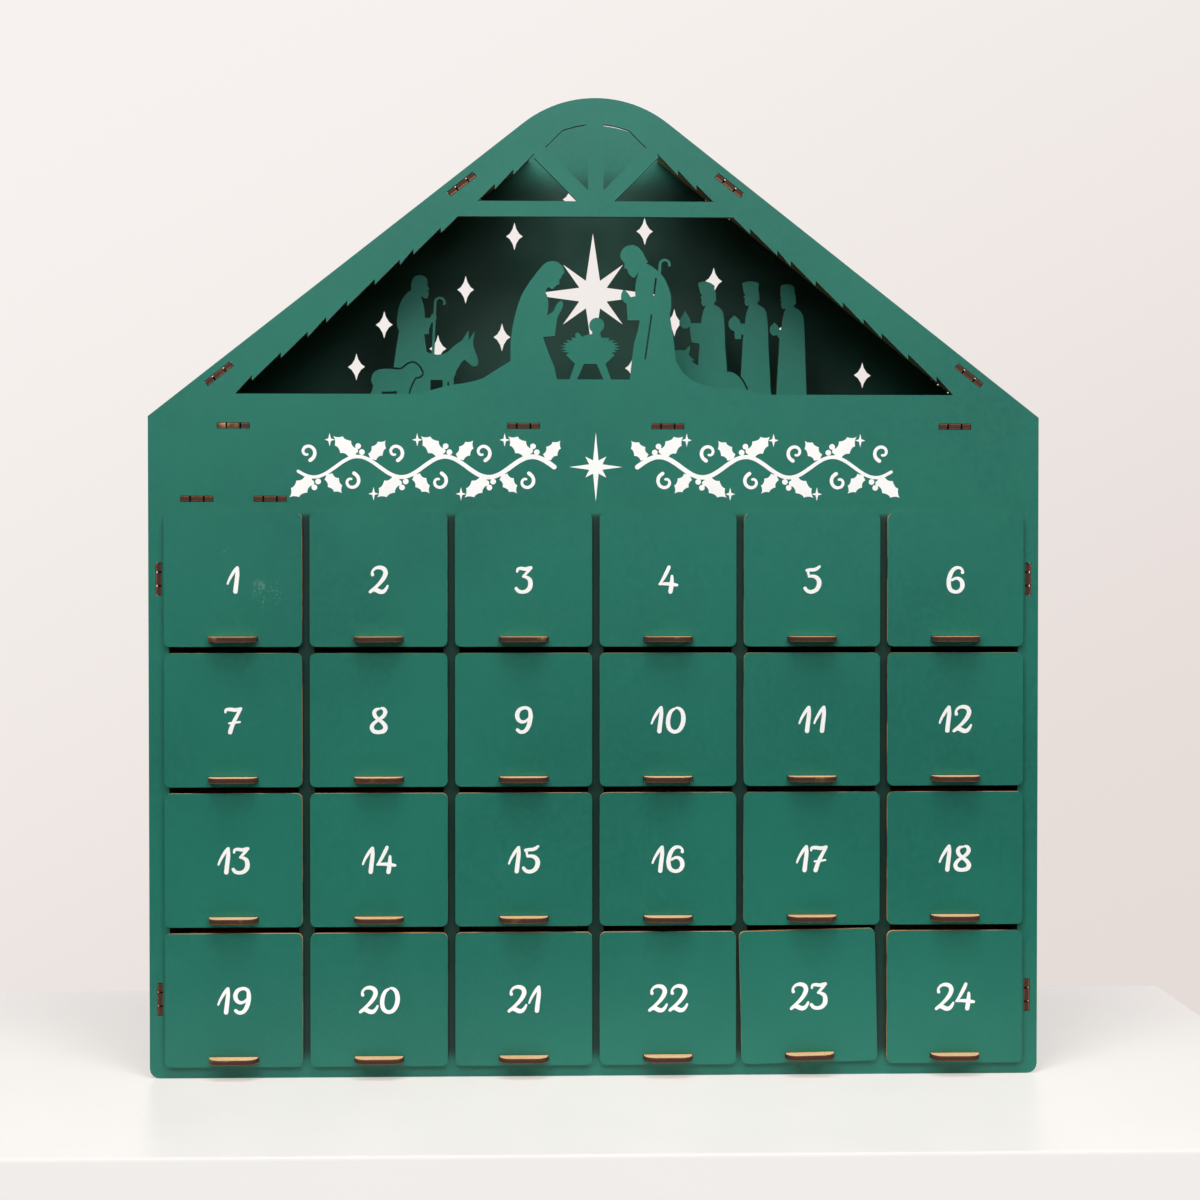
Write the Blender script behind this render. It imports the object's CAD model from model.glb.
import math

import bpy
from mathutils import Matrix, Vector
from mathutils.geometry import delaunay_2d_cdt


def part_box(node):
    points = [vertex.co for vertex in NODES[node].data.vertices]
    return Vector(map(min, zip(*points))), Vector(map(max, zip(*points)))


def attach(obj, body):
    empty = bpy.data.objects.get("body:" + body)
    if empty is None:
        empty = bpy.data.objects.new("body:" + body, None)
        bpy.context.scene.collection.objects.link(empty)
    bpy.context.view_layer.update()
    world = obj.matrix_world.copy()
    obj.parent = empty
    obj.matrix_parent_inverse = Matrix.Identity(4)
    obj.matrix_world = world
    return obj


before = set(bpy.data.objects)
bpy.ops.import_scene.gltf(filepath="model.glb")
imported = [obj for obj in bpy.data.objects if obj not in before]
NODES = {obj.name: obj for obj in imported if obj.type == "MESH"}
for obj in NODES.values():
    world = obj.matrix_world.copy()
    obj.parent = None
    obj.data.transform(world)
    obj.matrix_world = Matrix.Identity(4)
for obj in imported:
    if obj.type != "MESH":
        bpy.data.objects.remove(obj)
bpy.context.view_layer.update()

MM = 0.001
BOARD = 2.5 * MM
CORNER_RADIUS = 3 * MM
WORN_WIDTH = 0.4 * MM
COLUMNS = 6
ROWS = 4
LEANING_DRAWER = 23
SCUFFED_DRAWER = 1


def farthest(node, direction):
    """How far a node reaches in a direction, in metres."""
    return max(direction.dot(v.co) for v in NODES[node].data.vertices)


def drawer_name(kind, number):
    return f"drawer_{kind}_{number:02d}"


# Where the drawers sit and the roof ends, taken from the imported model
FRONT_LOW, FRONT_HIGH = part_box(drawer_name("front", 1))
BOX_LOW, BOX_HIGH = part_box(drawer_name("box", 1))
FRONT_SIZE = FRONT_HIGH - FRONT_LOW
PITCH_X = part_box(drawer_name("front", 2))[0].x - FRONT_LOW.x
PITCH_Z = FRONT_LOW.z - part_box(drawer_name("front", 7))[0].z
BOX_WIDTH = BOX_HIGH.x - BOX_LOW.x
BOX_HEIGHT = BOX_HIGH.z - BOX_LOW.z
HOUSE_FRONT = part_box("front_panel")[0].y
BOX_LENGTH = BOX_HIGH.y - HOUSE_FRONT
BOTTOM_BOX_Z = BOX_LOW.z - (ROWS - 1) * PITCH_Z
ROOF_LOW, ROOF_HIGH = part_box("roof_panel_right")
ATTIC_TOP = ROOF_HIGH.z


def leaning_placement():
    """The leaning drawer's turn and place, found from the straight front's corners."""
    low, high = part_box(drawer_name("front", LEANING_DRAWER))
    wide = high.x - low.x
    rounding = 2 * CORNER_RADIUS
    turn = 0.0
    rounds = 40
    for _ in range(rounds):
        flat = (FRONT_SIZE.x - rounding) * math.cos(turn) + rounding
        turn = math.asin(max(0.0, min(1.0, (wide - flat) / (FRONT_SIZE.z - rounding))))
    return turn, (low + high) / 2


LEAN, LEAN_CENTRE = leaning_placement()


# Node graphs


class Nodes:
    """A node tree with short calls for the nodes that the finishes and the world share."""

    def __init__(self, tree):
        self.tree = tree
        self.tree.nodes.clear()
        self.coordinates = self.node("ShaderNodeTexCoord")

    def node(self, kind, **settings):
        made = self.tree.nodes.new(kind)
        for key, value in settings.items():
            setattr(made, key, value)
        return made

    def put(self, socket, value):
        if isinstance(value, bpy.types.NodeSocket):
            self.tree.links.new(value, socket)
        else:
            socket.default_value = value

    def math(self, operation, a, b=0.0):
        made = self.node("ShaderNodeMath", operation=operation)
        self.put(made.inputs[0], a)
        self.put(made.inputs[1], b)
        return made.outputs[0]

    def vector(self, operation, a, b=(0, 0, 0)):
        made = self.node("ShaderNodeVectorMath", operation=operation)
        self.put(made.inputs[0], a)
        self.put(made.inputs[1], b)
        return made.outputs["Value" if operation in ("DOT_PRODUCT", "LENGTH") else "Vector"]

    def scaled(self, vector, factors):
        return self.vector("MULTIPLY", vector, factors)

    def parts(self, vector):
        made = self.node("ShaderNodeSeparateXYZ")
        self.put(made.inputs[0], vector)
        return made.outputs

    def step(self, value, low, high, to_low=0.0, to_high=1.0):
        made = self.node("ShaderNodeMapRange", interpolation_type="SMOOTHSTEP")
        self.put(made.inputs["Value"], value)
        self.put(made.inputs["From Min"], low)
        self.put(made.inputs["From Max"], high)
        self.put(made.inputs["To Min"], to_low)
        self.put(made.inputs["To Max"], to_high)
        return made.outputs["Result"]

    def noise(self, vector, scale, detail, roughness):
        made = self.node("ShaderNodeTexNoise")
        self.put(made.inputs["Vector"], vector)
        self.put(made.inputs["Scale"], scale)
        self.put(made.inputs["Detail"], detail)
        self.put(made.inputs["Roughness"], roughness)
        return made.outputs["Fac"]

    def mix(self, factor, a, b):
        made = self.node("ShaderNodeMix", data_type="RGBA")
        self.put(made.inputs[0], factor)
        self.put(made.inputs[6], a)
        self.put(made.inputs[7], b)
        return made.outputs[2]

    def blend_values(self, factor, a, b):
        made = self.node("ShaderNodeMix", data_type="FLOAT")
        self.put(made.inputs[0], factor)
        self.put(made.inputs[2], a)
        self.put(made.inputs[3], b)
        return made.outputs[0]

    def ramp(self, value, stops):
        made = self.node("ShaderNodeValToRGB")
        self.put(made.inputs[0], value)
        ramp = made.color_ramp
        while len(ramp.elements) < len(stops):
            ramp.elements.new(0.5)
        for element, (position, colour) in zip(ramp.elements, stops):
            element.position = position
            element.color = colour
        return made.outputs[0]


class Graph(Nodes):
    """A material's nodes around one shader."""

    def __init__(self, name):
        self.material = bpy.data.materials.new(name)
        self.material.use_nodes = True
        super().__init__(self.material.node_tree)
        self.place = self.coordinates.outputs["Object"]
        self.facing = self.coordinates.outputs["Normal"]
        self.shader = self.node("ShaderNodeBsdfPrincipled")
        self.output = self.node("ShaderNodeOutputMaterial")
        self.put(self.output.inputs["Surface"], self.shader.outputs["BSDF"])

    def bump(self, height, strength, distance):
        made = self.node("ShaderNodeBump")
        made.inputs["Strength"].default_value = strength
        made.inputs["Distance"].default_value = distance
        self.put(made.inputs["Height"], height)
        return made.outputs["Normal"]

    def finish(self, colour, roughness, normal, specular):
        self.put(self.shader.inputs["Base Color"], colour)
        self.put(self.shader.inputs["Roughness"], roughness)
        self.put(self.shader.inputs["Normal"], normal)
        self.shader.inputs["Specular IOR Level"].default_value = specular
        return self.material


def srgb(red, green, blue):
    def linear(value):
        value /= 255
        return value / 12.92 if value <= 0.04045 else ((value + 0.055) / 1.055) ** 2.4

    return (linear(red), linear(green), linear(blue), 1.0)


GREEN = srgb(20, 111, 94)
GREEN_DEEP = srgb(15, 103, 88)
GREEN_PALE = srgb(30, 117, 99)
DUST = srgb(170, 190, 175)
CHALK = srgb(165, 195, 186)
TAN = srgb(212, 172, 124)
TAN_PALE = srgb(226, 188, 142)
FIBRE_DARK = srgb(176, 132, 86)
FIBRE_LIGHT = srgb(232, 200, 156)
WORN_LIGHT = srgb(214, 158, 100)
WORN_DARK = srgb(160, 104, 62)
SOOT = srgb(62, 36, 28)
# The deeper coat of the recesses, from its darkest to its lightest
BACK_RECESS = (srgb(7, 57, 47), srgb(10, 66, 54))
FRONT_RECESS = (srgb(5, 46, 38), srgb(8, 53, 44))

# Strength and distance of each bump, and how much each finish shines
PAINT_BUMP, PAINT_SPECULAR = (0.3, 0.0001), 0.46
WOOD_BUMP, WOOD_SPECULAR = (0.35, 0.00012), 0.35
WHITE_BUMP, WHITE_SPECULAR = (0.25, 0.00006), 0.4
TABLE_BUMP, TABLE_SPECULAR = (0.05, 0.00005), 0.4
BURNT_ROUGHNESS = 0.95

# Between which values of a slow noise the scorch of an edge gives way to a paler toast
TOAST = (0.62, 0.8)
DRAWER_TOAST = (0.36, 0.56)
WOOD_TOAST = (0.6, 0.8)

# Dust specks in the paint: cells for each metre, the share of them left bare, and a speck's size in a cell
SPECK_CELLS = 62
SPECK_FREE = 0.975
SPECK_SIZE = 0.014


def painted_wood(g):
    """Rolled satin paint: colour, roughness and height."""
    broad = g.noise(g.place, 9, 3, 0.55)
    fine = g.noise(g.place, 420, 4, 0.6)
    nap = g.noise(g.place, 1500, 2, 0.5)
    colour = g.mix(g.step(broad, 0.35, 0.65), GREEN_DEEP, GREEN)
    colour = g.mix(g.step(fine, 0.3, 0.75, 0.0, 0.35), colour, GREEN_PALE)
    specks = g.node("ShaderNodeTexVoronoi", feature="F1")
    g.put(specks.inputs["Vector"], g.place)
    specks.inputs["Scale"].default_value = SPECK_CELLS
    chance = g.node("ShaderNodeTexWhiteNoise", noise_dimensions="3D")
    g.put(chance.inputs["Vector"], specks.outputs["Position"])
    rare = g.math("GREATER_THAN", chance.outputs["Value"], SPECK_FREE)
    small = g.math("LESS_THAN", specks.outputs["Distance"], SPECK_SIZE)
    dust = g.math("MULTIPLY", rare, small)
    colour = g.mix(g.math("MULTIPLY", dust, 0.35), colour, DUST)
    roughness = g.step(fine, 0.2, 0.8, 0.42, 0.52)
    height = g.math("ADD", g.math("MULTIPLY", nap, 0.35), g.math("MULTIPLY", fine, 0.65))
    return colour, roughness, height


def bare_wood(g):
    """The pressed fibreboard under the paint: warm tan with short fibres."""
    cloud = g.noise(g.place, 28, 3, 0.6)
    fibre = g.noise(g.scaled(g.place, (1.0, 0.35, 1.0)), 1100, 5, 0.65)
    cross = g.noise(g.scaled(g.place, (0.3, 1.0, 0.6)), 800, 4, 0.6)
    colour = g.mix(g.step(cloud, 0.3, 0.7), TAN, TAN_PALE)
    colour = g.mix(g.step(fibre, 0.45, 0.75, 0.0, 0.5), colour, FIBRE_DARK)
    colour = g.mix(g.step(cross, 0.5, 0.8, 0.0, 0.35), colour, FIBRE_LIGHT)
    roughness = g.step(fibre, 0.2, 0.8, 0.68, 0.85)
    return colour, roughness, g.math("ADD", fibre, g.math("MULTIPLY", cross, 0.5))


def burnt_edge(g, across, run, toasted_low, toasted_high):
    """A laser-cut edge. across is 0 at one face of the board and 1 at the other, and run lies along
    the edge. The scorch gives way to toast where a slow noise climbs between the two toasted values."""
    streak = g.noise(run, 2600, 2, 0.5)
    patch = g.noise(g.place, 46, 3, 0.6)
    wander = g.math("MULTIPLY", g.math("SUBTRACT", streak, 0.5), 0.22)
    shifted = g.math("ADD", across, wander)
    scorched = g.ramp(
        shifted,
        [
            (0.0, srgb(178, 122, 78)),
            (0.07, srgb(112, 68, 48)),
            (0.2, srgb(72, 45, 35)),
            (0.6, srgb(62, 38, 31)),
            (0.93, srgb(74, 45, 35)),
            (1.0, srgb(146, 92, 58)),
        ],
    )
    toasted = g.ramp(
        shifted,
        [
            (0.0, srgb(232, 192, 136)),
            (0.25, srgb(214, 164, 106)),
            (0.55, srgb(178, 122, 74)),
            (0.85, srgb(150, 96, 58)),
            (1.0, srgb(186, 128, 78)),
        ],
    )
    colour = g.mix(g.step(patch, toasted_low, toasted_high), scorched, toasted)
    colour = g.mix(g.step(streak, 0.5, 0.85, 0.0, 0.35), colour, SOOT)
    return colour, BURNT_ROUGHNESS, streak


def merged(g, mask, under, over):
    """Two finishes, each a colour, a roughness and a height, mixed by a mask."""
    return (
        g.mix(mask, under[0], over[0]),
        g.blend_values(mask, under[1], over[1]),
        g.blend_values(mask, under[2], over[2]),
    )


def board_material(
    name, node, direction, scuffed=False, both_bare=False, toast=TOAST, inside=None, worn=False
):
    """A board that is painted on the side that faces a direction, bare on the other, burnt round its
    edge. inside gives a mask maker and the two colours of the deeper coat that the paint has there."""
    g = Graph(name)
    direction = direction.normalized()
    face = farthest(node, direction)
    facing = g.vector("DOT_PRODUCT", g.facing, direction)
    depth = g.math("SUBTRACT", face, g.vector("DOT_PRODUCT", g.place, direction))
    across = g.math("DIVIDE", depth, BOARD)
    flat = tuple(1 - 0.9 * abs(part) for part in direction)
    paint = painted_wood(g)
    if scuffed:
        paint = (scuffs(g, paint[0]), paint[1], paint[2])
    if inside:
        mask, (dark, light) = inside
        deep = g.mix(g.noise(g.place, 14, 3, 0.5), dark, light)
        paint = (g.mix(mask(g), paint[0], deep), paint[1], paint[2])
    wood = bare_wood(g)
    front = wood if both_bare else merged(g, g.math("GREATER_THAN", facing, 0.5), wood, paint)
    edge = g.math("LESS_THAN", g.math("ABSOLUTE", facing), 0.5)
    burnt = burnt_edge(g, across, g.scaled(g.place, flat), *toast)
    colour, roughness, height = merged(g, edge, front, burnt)
    if worn:
        off_face = g.math("LESS_THAN", facing, 0.97)
        corner = g.math("MULTIPLY", off_face, g.math("GREATER_THAN", facing, 0.3))
        rubbed = g.step(g.noise(g.place, 34, 2, 0.5), 0.44, 0.56, 0.0, 0.9)
        tan = g.mix(g.noise(g.place, 500, 2, 0.5), WORN_LIGHT, WORN_DARK)
        colour = g.mix(g.math("MULTIPLY", corner, rubbed), colour, tan)
    return g.finish(colour, roughness, g.bump(height, *PAINT_BUMP), PAINT_SPECULAR)


def attic_recess(g):
    """Below the upper edges of the roof boards."""
    fade_low, fade_high = ATTIC_TOP - 20 * MM, ATTIC_TOP - 4 * MM
    return g.step(g.parts(g.place)[2], fade_low, fade_high, 1.0, 0.0)


def drawer_recess(g):
    """Behind the drawer fronts, and in the gaps between them."""
    inset, rise, top_fade, foot_fade = 2 * MM, 0.5 * MM, 3 * MM, 9 * MM
    x, _, z = g.parts(g.place)
    top = FRONT_HIGH.z + rise
    bottom = FRONT_LOW.z - (ROWS - 1) * PITCH_Z
    within = g.math("LESS_THAN", g.math("ABSOLUTE", x), -FRONT_LOW.x - inset)
    under_top = g.step(z, top - top_fade, top, 1.0, 0.0)
    between = g.math("MULTIPLY", under_top, g.step(z, bottom, bottom + foot_fade))
    return g.math("MULTIPLY", within, between)


# Rubs on the first front: place from its middle, half width and half height in millimetres, the value
# above which a fine noise shows, and strength
SCUFFS = (
    (17, -7, 10, 9, 0.56, 0.3),
    (-4, 15, 4, 6, 0.58, 0.34),
    (13, -3, 4, 5, 0.4, 0.1),
)


def scuffs(g, colour):
    """Faint chalky rubs and a smudge on the first drawer's front."""
    middle = (FRONT_LOW + FRONT_HIGH) / 2
    fine = g.noise(g.place, 620, 4, 0.7)
    for dx, dz, wide, tall, low, strength in SCUFFS:
        centre = middle + Vector((dx, 0, dz)) * MM
        offset = g.scaled(g.vector("SUBTRACT", g.place, centre), (1 / (wide * MM), 0, 1 / (tall * MM)))
        inside = g.step(g.vector("LENGTH", offset), 0.4, 1.0, 1.0, 0.0)
        broken = g.step(fine, low, low + 0.12)
        share = g.math("MULTIPLY", g.math("MULTIPLY", inside, broken), strength)
        colour = g.mix(share, colour, CHALK)
    return colour


def grid_material(name):
    """Shelves and dividers: bare faces, burnt wherever an end or an edge shows."""
    g = Graph(name)
    end_reach, offset = 4 * MM, 1 * MM
    facing = g.parts(g.facing)
    place = g.parts(g.place)
    forward = g.math("GREATER_THAN", g.math("ABSOLUTE", facing[1]), 0.5)
    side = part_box("side_panel_right")[0].x
    outward = g.math("GREATER_THAN", g.math("ABSOLUTE", facing[0]), 0.5)
    beyond = g.math("GREATER_THAN", g.math("ABSOLUTE", place[0]), side - end_reach)
    ends = g.math("MAXIMUM", forward, g.math("MULTIPLY", outward, beyond))
    across = g.math("FRACT", g.math("DIVIDE", g.math("ADD", place[2], offset), BOARD))
    burnt = burnt_edge(g, across, g.scaled(g.place, (1, 0.1, 1)), *WOOD_TOAST)
    colour, roughness, height = merged(g, ends, bare_wood(g), burnt)
    return g.finish(colour, roughness, g.bump(height, *WOOD_BUMP), WOOD_SPECULAR)


def turned(g, vector, matrix):
    """A vector turned by a matrix."""
    made = g.node("ShaderNodeCombineXYZ")
    for i in range(3):
        g.put(made.inputs[i], g.vector("DOT_PRODUCT", vector, tuple(matrix[i])))
    return made.outputs[0]


def box_material(name, leaning):
    """A drawer's box: bare boards with burnt finger joints, rims and pull."""
    g = Graph(name)
    half = BOX_WIDTH / 2
    below, rim, before, skin = 1 * MM, 0.1 * MM, 0.15 * MM, 0.5 * MM
    fingers_up, fingers_along, fingers_across = 7, 9, 7
    if leaning:
        turn = Matrix.Rotation(LEAN, 3, "Y")
        straight_centre = FRONT_SIZE.z / 2 - (BOX_LOW.z - FRONT_LOW.z)
        origin = LEAN_CENTRE - Matrix.Rotation(-LEAN, 3, "Y") @ Vector((0, 0, straight_centre))
        origin.y = HOUSE_FRONT
        facing = turned(g, g.facing, turn)
        x, y, z = g.parts(turned(g, g.vector("SUBTRACT", g.place, origin), turn))
    else:
        facing = g.facing
        px, py, pz = g.parts(g.place)
        x = g.math("SUBTRACT", g.math("FLOORED_MODULO", px, PITCH_X), PITCH_X / 2)
        y = g.math("SUBTRACT", py, HOUSE_FRONT)
        z = g.math("FLOORED_MODULO", g.math("SUBTRACT", pz, BOTTOM_BOX_Z - below), PITCH_Z)
        z = g.math("SUBTRACT", z, below)
    nx, ny, nz = (g.math("ABSOLUTE", part) for part in g.parts(facing))
    level = g.math("GREATER_THAN", nz, 0.5)
    sidelong = g.math("GREATER_THAN", nx, 0.5)
    from_side = g.math("SUBTRACT", half, g.math("ABSOLUTE", x))
    from_back = g.math("ABSOLUTE", g.math("SUBTRACT", BOX_LENGTH, y))
    from_end = g.math("MINIMUM", g.math("ABSOLUTE", y), from_back)
    near_side = g.math("LESS_THAN", from_side, BOARD)
    near_end = g.math("LESS_THAN", from_end, BOARD)
    near_floor = g.math("LESS_THAN", z, BOARD)
    at_rim = g.math("GREATER_THAN", z, BOX_HEIGHT - rim)
    ahead = g.math("LESS_THAN", y, -before)

    def fingers(value, length, count):
        share = g.math("MULTIPLY", g.math("DIVIDE", value, length), count / 2)
        return g.math("LESS_THAN", g.math("FRACT", g.math("ADD", share, 1.0)), 0.5)

    up = fingers(z, BOX_HEIGHT, fingers_up)
    along = fingers(y, BOX_LENGTH, fingers_along)
    wide = fingers(g.math("ADD", x, half), BOX_WIDTH, fingers_across)
    corner_side = g.math("MULTIPLY", near_end, g.math("SUBTRACT", 1.0, up))
    floor_side = g.math("MULTIPLY", near_floor, along)
    on_side = g.math("MAXIMUM", corner_side, floor_side)
    corner_end = g.math("MULTIPLY", near_side, up)
    floor_end = g.math("MULTIPLY", near_floor, wide)
    on_end = g.math("MAXIMUM", corner_end, floor_end)
    under_side = g.math("MULTIPLY", near_side, g.math("SUBTRACT", 1.0, along))
    under_end = g.math("MULTIPLY", near_end, g.math("SUBTRACT", 1.0, wide))
    on_floor = g.math("MAXIMUM", under_side, under_end)
    upright = g.blend_values(sidelong, on_end, on_side)
    joints = g.blend_values(level, upright, g.math("MAXIMUM", on_floor, at_rim))
    inner_x = g.math("LESS_THAN", g.math("ABSOLUTE", x), half - skin)
    inner_y = g.math("GREATER_THAN", from_end, skin)
    above_floor = g.math("GREATER_THAN", z, skin)
    inner_z = g.math("MULTIPLY", above_floor, g.math("SUBTRACT", 1.0, at_rim))
    shown_x = g.math("MULTIPLY", sidelong, g.math("SUBTRACT", 1.0, inner_x))
    lengthwise = g.math("GREATER_THAN", ny, 0.5)
    shown_y = g.math("MULTIPLY", lengthwise, g.math("SUBTRACT", 1.0, inner_y))
    shown_z = g.math("MULTIPLY", level, g.math("SUBTRACT", 1.0, inner_z))
    outside = g.math("MAXIMUM", g.math("MAXIMUM", shown_x, shown_y), shown_z)
    joints = g.math("MULTIPLY", joints, outside)
    pull = g.math("SUBTRACT", 1.0, level)
    burnt = g.blend_values(ahead, joints, pull)
    through_wall = g.math("FRACT", g.math("DIVIDE", from_side, BOARD))
    through_pull = g.math("SUBTRACT", 1.0, g.math("DIVIDE", z, BOARD))
    across = g.blend_values(ahead, through_wall, through_pull)
    edge = burnt_edge(g, across, g.scaled(g.place, (1, 1, 0.1)), *WOOD_TOAST)
    colour, roughness, height = merged(g, burnt, bare_wood(g), edge)
    return g.finish(colour, roughness, g.bump(height, *WOOD_BUMP), WOOD_SPECULAR)


def white_material(name):
    """White paint, a little uneven where the green shows through at its thinnest."""
    g = Graph(name)
    broad = g.noise(g.place, 60, 3, 0.6)
    fine = g.noise(g.place, 900, 3, 0.6)
    colour = g.mix(g.step(broad, 0.3, 0.7), srgb(248, 248, 246), srgb(253, 253, 251))
    colour = g.mix(g.step(fine, 0.62, 0.85, 0.0, 0.25), colour, srgb(226, 234, 229))
    roughness = g.step(fine, 0.2, 0.8, 0.42, 0.55)
    return g.finish(colour, roughness, g.bump(fine, *WHITE_BUMP), WHITE_SPECULAR)


def dress():
    def paint(node, material):
        for slot in NODES[node].material_slots:
            slot.material = material

    front = Vector((0, -1, 0))
    up = Vector((0, 0, 1))
    slope = math.atan2(ROOF_HIGH.z - ROOF_LOW.z, ROOF_HIGH.x - ROOF_LOW.x)
    boards = {
        "front_panel": front,
        "back_panel": front,
        "nativity_figure_panel": front,
        "side_panel_left": Vector((-1, 0, 0)),
        "side_panel_right": Vector((1, 0, 0)),
        "deck_panel": up,
        "roof_panel_left": Vector((-math.sin(slope), 0, math.cos(slope))),
        "roof_panel_right": Vector((math.sin(slope), 0, math.cos(slope))),
    }
    recesses = {
        "back_panel": (attic_recess, BACK_RECESS),
        "front_panel": (drawer_recess, FRONT_RECESS),
    }
    for node, direction in boards.items():
        paint(node, board_material(node + "_paint", node, direction, inside=recesses.get(node)))
    for node in ("base_panel", "light_shelf"):
        paint(node, board_material(node + "_wood", node, up, both_bare=True))
    paint("drawer_divider_grid", grid_material("divider_wood"))
    usual = drawer_name("front", 2)
    plain = board_material("drawer_front_paint", usual, front, toast=DRAWER_TOAST, worn=True)
    scuffed = board_material(
        "drawer_front_rubbed_paint", usual, front, scuffed=True, toast=DRAWER_TOAST, worn=True
    )
    straight = box_material("drawer_box_wood", False)
    leaning = box_material("leaning_drawer_box_wood", True)
    for number in range(1, COLUMNS * ROWS + 1):
        paint(drawer_name("front", number), scuffed if number == SCUFFED_DRAWER else plain)
        paint(drawer_name("box", number), leaning if number == LEANING_DRAWER else straight)
        corner = NODES[drawer_name("front", number)].modifiers.new("worn_corner", "BEVEL")
        corner.width = WORN_WIDTH
        corner.segments = 2
        corner.limit_method = "ANGLE"
        corner.angle_limit = math.radians(60)


dress()


# Flat white shapes, drawn in millimetres and raised a little from the paint


def smoothed(points, steps):
    """A smooth line through points that carry a half width, as (x, y, half width)."""
    points = [Vector(point) for point in points]
    line = []
    for i in range(len(points) - 1):
        before = points[max(i - 1, 0)]
        start, end = points[i], points[i + 1]
        after = points[min(i + 2, len(points) - 1)]
        for k in range(steps):
            t = k / steps
            line.append(
                0.5
                * (
                    2 * start
                    + (end - before) * t
                    + (2 * before - 5 * start + 4 * end - after) * t * t
                    + (3 * start - 3 * end + after - before) * t ** 3
                )
            )
    line.append(points[-1])
    return line


def ribbon(points, steps=5, cap=6):
    """The outline of a brush stroke with round ends."""
    line = smoothed(points, steps)
    left, right, headings = [], [], []
    for i, point in enumerate(line):
        ahead = line[min(i + 1, len(line) - 1)] - line[max(i - 1, 0)]
        heading = math.atan2(ahead.y, ahead.x)
        headings.append(heading)
        side = Vector((-math.sin(heading), math.cos(heading))) * point.z
        left.append(point.xy + side)
        right.append(point.xy - side)

    def end(point, heading):
        arc = []
        for k in range(1, cap):
            angle = heading + math.pi / 2 - math.pi * k / cap
            arc.append(point.xy + Vector((math.cos(angle), math.sin(angle))) * point.z)
        return arc

    return left + end(line[-1], headings[-1]) + right[::-1] + end(line[0], headings[0] + math.pi)


def disc(x, y, radius, steps=18):
    angles = [math.tau * k / steps for k in range(steps)]
    return [Vector((x + radius * math.cos(angle), y + radius * math.sin(angle))) for angle in angles]


def mirrored(outline):
    return [Vector((-point.x, point.y)) for point in reversed(outline)]


def moved(outline, x, y, turn=0.0):
    spin = Matrix.Rotation(turn, 2)
    return [spin @ point + Vector((x, y)) for point in outline]


def counterclockwise(outline):
    area = sum(a.cross(b) for a, b in zip(outline, outline[1:] + outline[:1]))
    return outline if area > 0 else outline[::-1]


def raised(name, outlines, place, thickness=0.12 * MM, sunk=0.02 * MM):
    """One closed solid from overlapping outlines. place turns a drawn point and a height into the frame."""
    points, faces = [], []
    for outline in map(counterclockwise, outlines):
        faces.append(list(range(len(points), len(points) + len(outline))))
        points.extend(outline)
    flat, _, cut, _, _, origins = delaunay_2d_cdt(points, [], faces, 0, 1e-5)
    triangles = [face for face, origin in zip(cut, origins) if origin]
    edges = dict.fromkeys(edge for face in triangles for edge in zip(face, face[1:] + face[:1]))
    rim = [(a, b) for a, b in edges if (b, a) not in edges]
    used = sorted({i for face in triangles for i in face})
    order = {old: new for new, old in enumerate(used)}
    count = len(used)
    vertices = [place(flat[i], thickness) for i in used] + [place(flat[i], -sunk) for i in used]
    shell = [[order[i] for i in face] for face in triangles]
    shell += [[order[i] + count for i in reversed(face)] for face in triangles]
    shell += [[order[b], order[a], order[a] + count, order[b] + count] for a, b in rim]
    mesh = bpy.data.meshes.new(name)
    mesh.from_pydata(vertices, [], shell)
    mesh.update()
    piece = bpy.data.objects.new(name, mesh)
    bpy.context.scene.collection.objects.link(piece)
    piece.data.materials.append(WHITE)
    return piece


WHITE = white_material("white_paint")

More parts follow.
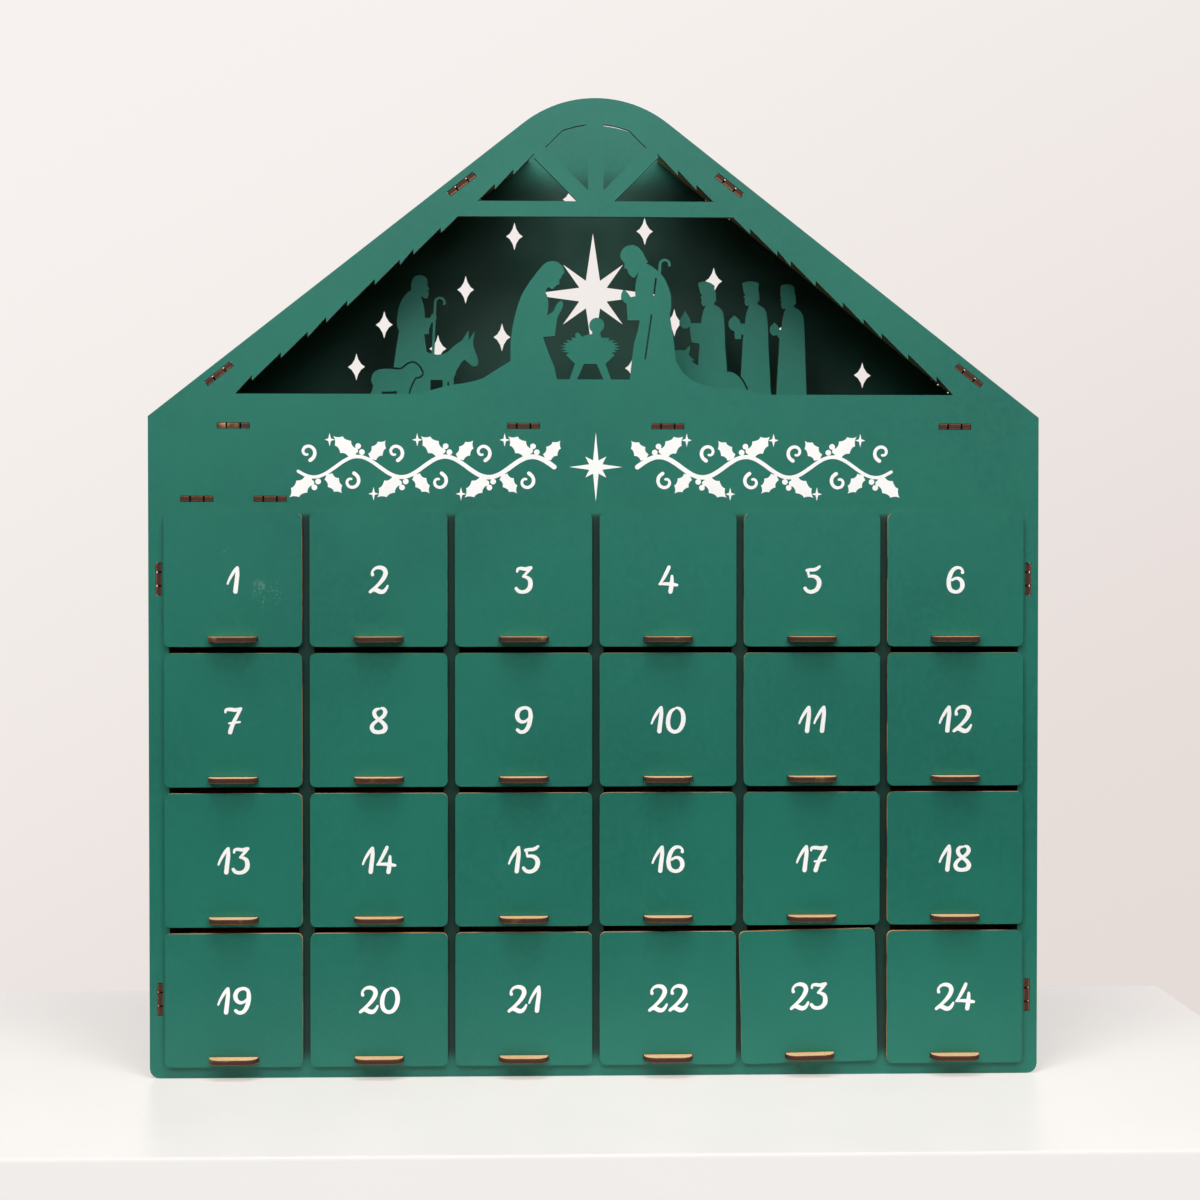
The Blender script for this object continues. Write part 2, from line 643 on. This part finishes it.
# Brush strokes of the numerals: x from the left, y from the foot, half width, in millimetres
DIGITS = {
    "0": (10.1, [
        [(4.5, 12.6, 0.55), (2.7, 11.3, 0.85), (1.5, 8.7, 1.05), (1.1, 5.5, 1.1), (1.8, 2.5, 1.05),
         (3.9, 0.95, 0.95),
         (6.4, 1.5, 1.0), (8.2, 4.1, 1.15), (8.9, 7.5, 1.15), (8.4, 10.7, 1.05), (7.0, 12.5, 0.85),
         (5.5, 13.0, 0.6)],
    ]),
    "1": (6.4, [
        [(0.6, 5.1, 0.5), (1.7, 7.7, 0.65), (3.8, 11.2, 0.8), (5.3, 13.2, 0.7)],
        [(5.5, 13.2, 0.75), (5.5, 9.8, 1.0), (4.9, 4.8, 1.08), (4.5, 1.2, 1.12)],
    ]),
    "2": (10.3, [
        [(2.2, 9.6, 0.85), (2.1, 11.2, 0.6), (3.5, 12.8, 0.7), (5.7, 13.3, 0.95), (7.8, 12.6, 1.1),
         (8.7, 10.8, 1.15),
         (8.1, 8.6, 1.1), (6.5, 6.2, 0.95), (4.2, 3.8, 0.8), (1.0, 1.0, 0.75)],
        [(1.0, 1.0, 0.75), (2.5, 2.1, 0.9), (4.2, 1.9, 1.1), (5.9, 1.1, 1.15), (7.6, 1.2, 1.0),
         (8.9, 2.5, 0.75),
         (9.7, 4.0, 0.55)],
    ]),
    "3": (9.3, [
        [(1.4, 11.2, 0.55), (1.8, 12.5, 0.7), (3.4, 12.8, 0.85), (5.6, 12.5, 0.9), (7.3, 12.9, 0.9),
         (8.3, 13.1, 0.85)],
        [(8.2, 12.9, 0.7), (6.6, 11.0, 0.75), (4.4, 8.7, 0.55)],
        [(4.4, 8.6, 0.5), (6.0, 8.4, 0.8), (7.6, 7.3, 1.05), (8.1, 5.3, 1.15), (7.7, 3.1, 1.15),
         (6.2, 1.5, 1.0),
         (4.0, 0.95, 0.9), (2.1, 1.4, 0.9), (0.95, 2.7, 0.85)],
    ]),
    "4": (10.1, [
        [(5.5, 13.5, 0.85), (4.5, 11.3, 0.95), (3.0, 8.4, 0.85), (1.5, 5.9, 0.65), (0.6, 4.8, 0.5)],
        [(0.6, 4.8, 0.5), (3.0, 5.05, 0.75), (6.0, 4.95, 0.9), (8.3, 4.6, 0.85), (9.5, 4.45, 0.7)],
        [(7.0, 8.9, 0.7), (6.9, 6.6, 0.95), (6.6, 3.6, 1.1), (6.2, 1.1, 1.1)],
    ]),
    "5": (9.1, [
        [(1.9, 11.8, 0.75), (3.6, 12.1, 0.85), (5.6, 12.2, 0.9), (7.2, 12.9, 0.85), (8.3, 13.8, 0.6)],
        [(2.3, 11.9, 0.6), (2.6, 10.4, 0.6), (2.9, 8.9, 0.6)],
        [(2.9, 8.7, 0.6), (4.6, 8.9, 0.8), (6.6, 8.3, 1.0), (7.9, 6.7, 1.15), (8.0, 4.5, 1.15),
         (6.8, 2.2, 1.05),
         (4.5, 1.0, 0.95), (2.3, 1.3, 0.9), (0.95, 2.8, 0.85)],
    ]),
    "6": (9.3, [
        [(8.1, 10.8, 0.85), (7.9, 12.2, 0.6), (6.3, 13.2, 0.75), (4.2, 12.8, 0.9), (2.5, 10.9, 1.05),
         (1.4, 8.0, 1.1),
         (1.1, 5.0, 1.1), (2.0, 2.1, 1.05), (4.3, 0.95, 0.9), (6.7, 1.5, 0.95), (8.0, 3.6, 1.1),
         (7.8, 6.0, 1.1),
         (6.4, 7.6, 0.9), (4.5, 7.8, 0.7), (2.7, 6.8, 0.55)],
    ]),
    "7": (9.3, [
        [(0.8, 11.1, 0.5), (1.2, 12.4, 0.75), (3.2, 12.6, 0.95), (5.6, 12.3, 0.95), (7.6, 12.6, 0.9),
         (8.4, 12.9, 0.85)],
        [(8.3, 12.6, 0.75), (7.0, 10.2, 0.85), (5.4, 7.2, 0.95), (4.0, 4.0, 1.05), (3.1, 1.1, 1.1)],
        [(2.6, 5.6, 0.5), (5.3, 5.9, 0.55), (8.0, 6.3, 0.5)],
    ]),
    "8": (9.4, [
        [(5.1, 12.8, 0.5), (3.5, 12.4, 0.8), (2.5, 11.0, 1.0), (3.0, 9.0, 1.0), (4.8, 7.3, 0.9),
         (6.9, 5.6, 1.0),
         (8.1, 3.6, 1.15), (7.3, 1.7, 1.1), (4.9, 0.95, 0.95)],
        [(4.9, 0.95, 0.95), (2.4, 1.4, 1.05), (1.2, 3.2, 1.05), (2.1, 5.3, 0.9), (4.5, 7.2, 0.75),
         (7.0, 9.0, 0.95),
         (8.0, 11.0, 1.05), (7.4, 12.6, 0.9), (6.1, 13.1, 0.6)],
    ]),
    "9": (8.9, [
        [(7.6, 11.6, 0.9), (6.5, 12.9, 0.85), (4.5, 13.1, 0.85), (2.3, 12.1, 1.0), (1.2, 9.9, 1.1),
         (1.6, 7.5, 1.05),
         (3.3, 6.1, 0.9), (5.4, 6.4, 0.7), (7.1, 8.0, 0.5)],
        [(7.5, 12.3, 0.8), (7.9, 10.0, 1.05), (7.7, 7.0, 1.15), (6.8, 3.7, 1.1), (5.1, 1.4, 0.95),
         (2.9, 0.95, 0.9),
         (1.3, 2.0, 0.85)],
    ]),
}
# Space between the two digits of a number, in millimetres
GAPS = {
    "10": 1.4, "11": 1.2, "12": 0.5, "13": 0.6, "14": 0.8, "15": 0.6, "16": 1.2, "17": 0.6,
    "18": 1.0, "19": 1.6, "20": 0.6, "21": 0.3, "22": 0.0, "23": 0.0, "24": 0.3,
}
DIGIT_HEIGHT = 14.2


def numeral_outlines(text):
    """The strokes of a number, centred on its middle."""
    outlines = []
    gap = GAPS.get(text, 0.0)
    x = 0.0
    for digit in text:
        width, strokes = DIGITS[digit]
        outlines += [moved(ribbon(stroke), x, 0) for stroke in strokes]
        x += width + gap
    total = x - gap
    return [moved(outline, -total / 2, -DIGIT_HEIGHT / 2) for outline in outlines]


def add_numerals():
    for number in range(1, COLUMNS * ROWS + 1):
        low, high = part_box(drawer_name("front", number))
        centre = (low + high) / 2
        turn = LEAN if number == LEANING_DRAWER else 0.0

        def place(point, height, centre=centre, turn=turn, face=low.y):
            x, z = Matrix.Rotation(turn, 2) @ point
            return (centre.x + x * MM, face - height, centre.z + z * MM)

        piece = raised(f"numeral_{number:02d}", numeral_outlines(str(number)), place)
        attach(piece, f"drawer_{number:02d}")


add_numerals()


def leaf(length, width, spikes=3):
    """A holly leaf that points along +X from its stalk."""
    upper = [Vector((0.0, 0.0))]
    for k in range(spikes):
        tip = (k + 0.55) / (spikes + 0.35)
        swell = math.sin(math.pi * (0.12 + 0.8 * tip))
        start = upper[-1]
        end = Vector((length * tip, width * swell))
        hollow = Vector(((start.x * 0.35 + end.x * 0.65), min(start.y, end.y) * 0.55 + 0.08 * width))
        for s in range(1, 6):
            t = s / 5
            upper.append(start * (1 - t) ** 2 + hollow * 2 * t * (1 - t) + end * t * t)
    start, end = upper[-1], Vector((length, 0.0))
    hollow = Vector((start.x * 0.6 + end.x * 0.4, 0.12 * width))
    for s in range(1, 6):
        t = s / 5
        upper.append(start * (1 - t) ** 2 + hollow * 2 * t * (1 - t) + end * t * t)
    lower = [Vector((point.x, -point.y)) for point in upper[1:-1]]
    return upper + lower[::-1]


def star(radii, waist):
    """A star whose points have the given reaches in turn, the first one up."""
    outline = []
    for k, reach in enumerate(radii):
        angle = math.pi / 2 - math.tau * k / len(radii)
        valley = angle - math.pi / len(radii)
        outline.append(Vector((reach * math.cos(angle), reach * math.sin(angle))))
        outline.append(Vector((waist * math.cos(valley), waist * math.sin(valley))))
    return outline


def curl(x, y, radius, start, turns, width, hand):
    """A spiral scroll that winds inward from a heading, as points with half widths."""
    points = []
    steps = 12
    for k in range(steps + 1):
        t = k / steps
        angle = start + hand * turns * math.tau * t
        reach = radius * (1 - 0.72 * t)
        points.append((x + reach * math.cos(angle), y + reach * math.sin(angle), width * (1 - 0.35 * t)))
    return points


# The garland: where its stem starts, how high it swings, half a swing's length, and how many of these
STEM_START = 21
STEM_SWING = 5.2
STEM_HALF = 22
SPRIGS = 6
FRIEZE_Z = 308.5


def frieze_half():
    """The right half of the garland, from the middle star outwards."""
    outlines = []
    stem = []
    parts = 28
    for k in range(parts + 1):
        x = STEM_START + 4.6 * k
        height = STEM_SWING * math.sin((x - STEM_START) / STEM_HALF * math.pi)
        stem.append((x, height, 1.25 - 0.45 * k / parts))
    outlines.append(ribbon(stem, 3))
    for k in range(SPRIGS):
        x = STEM_START + STEM_HALF / 2 + STEM_HALF * k
        up = 1 if k % 2 == 0 else -1
        crest = STEM_SWING * up
        outlines.append(moved(leaf(15.5, 4.1), x + 0.5, crest, up * 0.72))
        outlines.append(moved(leaf(13.0, 3.6), x - 6.0, crest * 0.62, up * 2.25))
        for dx, dy in ((-1.8, 2.2), (1.6, 2.9), (0.1, 5.2)):
            outlines.append(disc(x + dx - 0.4, crest + up * dy, 1.45))
        scroll = curl(x + 3.2, crest - up * 12.6, 4.4, up * 1.9, 0.95, 0.95, up)
        outlines.append(ribbon(scroll, 2))
    for k in range(SPRIGS - 1):
        x = STEM_START + STEM_HALF * (k + 1)
        up = 1 if k % 2 == 0 else -1
        outlines.append(moved(star([3.4, 2.6, 3.4, 2.6], 0.9), x + 3.0, up * 13.6))
    return outlines


def add_frieze():
    half = frieze_half()
    middle = [star([17.5, 7.5, 13.5, 7.5, 17.5, 7.5, 13.5, 7.5], 3.6)]
    outlines = middle + half + [mirrored(outline) for outline in half]
    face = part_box("front_panel")[0].y

    def place(point, height):
        return (point.x * MM, face - height, (FRIEZE_Z + point.y) * MM)

    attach(raised("frieze_ornament", outlines, place), "cabinet")


add_frieze()


# Table, light and camera


# The table's ends, its reach before and behind the house's face, its thickness, and how much of its
# top and of its upright faces is plain colour to the camera
TABLE_LEFT, TABLE_RIGHT = -1.0, 0.352
TABLE_FRONT, TABLE_BACK = HOUSE_FRONT - 0.138, HOUSE_FRONT + 0.212
TABLE_THICKNESS = 0.03
TABLE_EDGE = 1.5 * MM
PLAIN_SHARE = (0.4, 0.8)


def flat_slab(name, corners, top, bottom):
    vertices = [(x, y, z) for z in (bottom, top) for x, y in corners]
    n = len(corners)
    faces = [list(range(n))[::-1], [n + i for i in range(n)]]
    faces += [[i, (i + 1) % n, n + (i + 1) % n, n + i] for i in range(n)]
    mesh = bpy.data.meshes.new(name)
    mesh.from_pydata(vertices, [], faces)
    slab = bpy.data.objects.new(name, mesh)
    bpy.context.scene.collection.objects.link(slab)
    return slab


def table_material():
    """White lacquer. Part of what the camera sees is its plain colour, so that it stays white."""
    g = Graph("table_lacquer")
    cloud = g.noise(g.place, 6, 3, 0.6)
    fine = g.noise(g.place, 500, 2, 0.5)
    colour = g.mix(g.step(cloud, 0.3, 0.7), srgb(237, 233, 230), srgb(242, 238, 235))
    roughness = g.step(cloud, 0.2, 0.8, 0.26, 0.34)
    material = g.finish(colour, roughness, g.bump(fine, *TABLE_BUMP), TABLE_SPECULAR)
    plain = g.node("ShaderNodeEmission")
    plain.inputs["Color"].default_value = srgb(250, 246, 243)
    path = g.node("ShaderNodeLightPath")
    mixer = g.node("ShaderNodeMixShader")
    upright = g.math("GREATER_THAN", g.math("ABSOLUTE", g.parts(g.facing)[1]), 0.5)
    share = g.blend_values(upright, *PLAIN_SHARE)
    g.put(mixer.inputs[0], g.math("MULTIPLY", path.outputs["Is Camera Ray"], share))
    g.put(mixer.inputs[1], g.shader.outputs["BSDF"])
    g.put(mixer.inputs[2], plain.outputs["Emission"])
    g.put(g.output.inputs["Surface"], mixer.outputs["Shader"])
    return material


def add_table():
    corners = [
        (TABLE_LEFT, TABLE_FRONT),
        (TABLE_RIGHT, TABLE_FRONT),
        (TABLE_RIGHT, TABLE_BACK),
        (TABLE_LEFT, TABLE_BACK),
    ]
    slab = flat_slab("table", corners, 0.0, -TABLE_THICKNESS)
    slab.data.materials.append(table_material())
    bevel = slab.modifiers.new("edge", "BEVEL")
    bevel.width = TABLE_EDGE
    bevel.segments = 3


add_table()


WORLD_LIGHT = 0.08
LAMP_COLOUR = (1.0, 0.992, 0.984)


def add_world():
    """A pale wall that grows darker to the lower right, and an unlit room in front of the house. The
    camera and reflections see these, and everything else gets a faint even light."""
    world = bpy.data.worlds.new("studio")
    bpy.context.scene.world = world
    world.use_nodes = True
    w = Nodes(world.node_tree)
    heading = w.coordinates.outputs["Generated"]
    slant = w.vector("DOT_PRODUCT", heading, (0.55, 0.0, -1.0))
    wall_stops = [(0.0, srgb(247, 242, 239)), (1.0, srgb(229, 219, 215))]
    wall = w.ramp(w.step(slant, -0.4, 0.4), wall_stops)
    unlit = w.step(w.vector("DOT_PRODUCT", heading, (0.0, -1.0, 0.0)), 0.2, 0.75)
    seen = w.node("ShaderNodeBackground")
    seen.inputs["Strength"].default_value = 1.0
    w.put(seen.inputs["Color"], w.mix(unlit, wall, srgb(48, 46, 45)))
    light = w.node("ShaderNodeBackground")
    light.inputs["Color"].default_value = (1.0, 0.985, 0.97, 1.0)
    light.inputs["Strength"].default_value = WORLD_LIGHT
    path = w.node("ShaderNodeLightPath").outputs
    through = w.math("MAXIMUM", path["Is Glossy Ray"], path["Is Transmission Ray"])
    mixer = w.node("ShaderNodeMixShader")
    w.put(mixer.inputs[0], w.math("MAXIMUM", path["Is Camera Ray"], through))
    w.put(mixer.inputs[1], light.outputs[0])
    w.put(mixer.inputs[2], seen.outputs[0])
    output = w.node("ShaderNodeOutputWorld")
    w.put(output.inputs["Surface"], mixer.outputs[0])


add_world()


def aim_from(item, place, aim):
    """Stands a lamp or camera at a place and points it along a direction."""
    item.matrix_world = Matrix.Translation(place) @ aim.to_track_quat("-Z", "Y").to_matrix().to_4x4()


def add_lamp(name, place, target, width, height, power):
    data = bpy.data.lights.new(name, "AREA")
    data.shape = "RECTANGLE"
    data.size = width
    data.size_y = height
    data.energy = power
    data.color = LAMP_COLOUR
    lamp = bpy.data.objects.new(name, data)
    bpy.context.scene.collection.objects.link(lamp)
    aim_from(lamp, place, Vector(target) - Vector(place))


# Name, place, target, width and height in metres, and watts
add_lamp("top_softbox", (0.0, -0.6, 1.75), (0.0, 0.0, 0.25), 1.2, 0.6, 21)
add_lamp("left_softbox", (-0.8, -1.45, 1.45), (0.0, 0.0, 0.3), 0.9, 0.7, 18)
add_lamp("right_softbox", (0.85, -1.45, 1.4), (0.0, 0.0, 0.3), 0.8, 0.7, 14)
add_lamp("high_front_softbox", (-0.1, -2.0, 1.15), (0.0, 0.0, 0.4), 1.8, 0.5, 3.3)


# The camera that the photo was matched to
CAMERA_PLACE = (-0.0243, HOUSE_FRONT - 1.0108, 0.2563)
CAMERA_YAW = math.radians(1.497)
CAMERA_PITCH = math.radians(-0.847)


def add_camera():
    data = bpy.data.cameras.new("camera")
    data.lens = 60
    data.sensor_fit = "HORIZONTAL"
    data.sensor_width = 36
    data.clip_start = 0.05
    data.clip_end = 20
    camera = bpy.data.objects.new("camera", data)
    bpy.context.scene.collection.objects.link(camera)
    level = math.cos(CAMERA_PITCH)
    aim = (math.sin(CAMERA_YAW) * level, math.cos(CAMERA_YAW) * level, math.sin(CAMERA_PITCH))
    aim_from(camera, CAMERA_PLACE, Vector(aim))
    bpy.context.scene.camera = camera


add_camera()

bpy.context.scene.view_settings.view_transform = "Standard"
